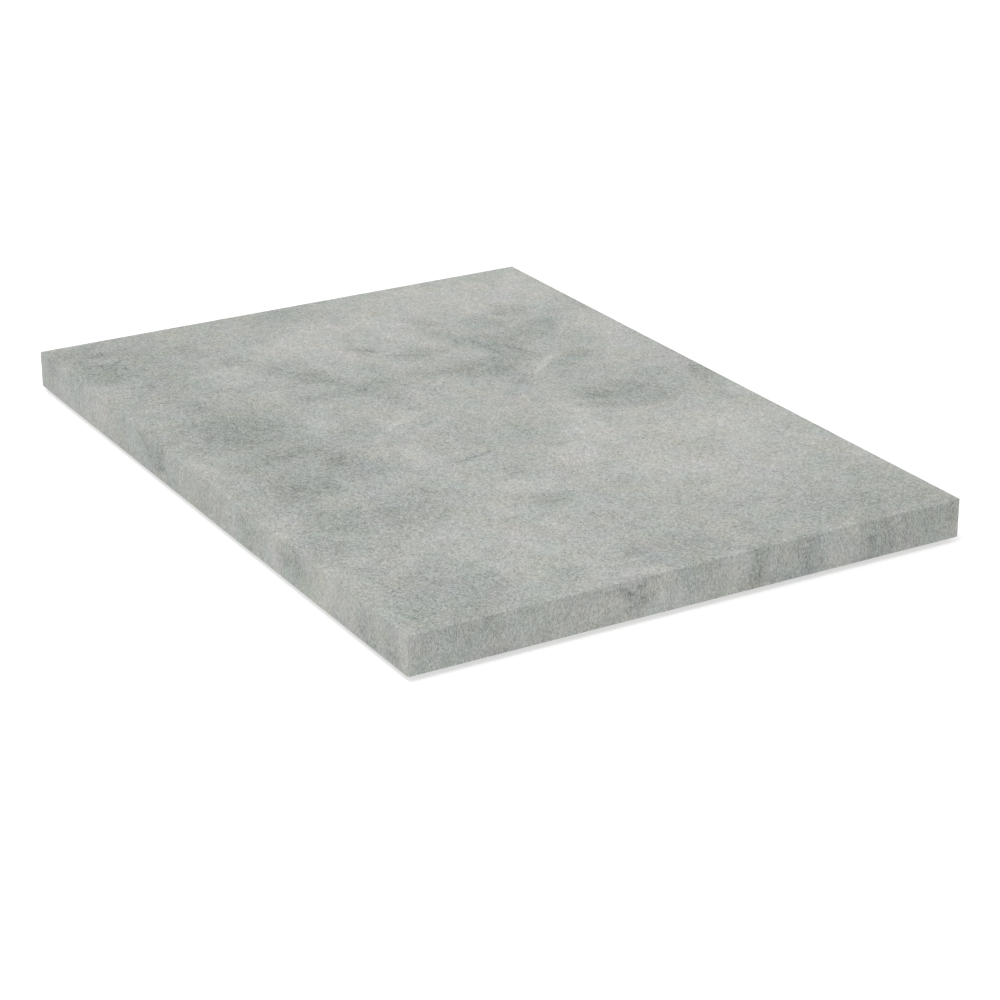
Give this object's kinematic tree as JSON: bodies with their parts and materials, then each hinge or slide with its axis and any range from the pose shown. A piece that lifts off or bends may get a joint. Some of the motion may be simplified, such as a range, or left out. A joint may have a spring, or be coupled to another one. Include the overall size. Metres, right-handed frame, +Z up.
{
  "type": "granite slab",
  "caption": "Flat rectangular stone work slab with square sawn sides and finely eased edges, standing on thin rubber pads stuck under its corners.",
  "frame": {"origin": "on the bench, under the middle of the slab", "axes": "+X along the slab's length, +Y across its width towards the back, +Z up, out of the working face"},
  "size_m": [0.42, 0.3, 0.0225],
  "materials": {
    "stone": "honed",
    "foot_rubber": "matte",
    "adhesive": "matte"
  },
  "bodies": {
    "root": {"stone_slab": "stone", "foot_front_left": "foot_rubber", "foot_front_right": "foot_rubber", "foot_back_left": "foot_rubber", "foot_back_right": "foot_rubber", "adhesive_disc_front_left": "adhesive", "adhesive_disc_front_right": "adhesive", "adhesive_disc_back_left": "adhesive", "adhesive_disc_back_right": "adhesive"}
  },
  "joints": []
}
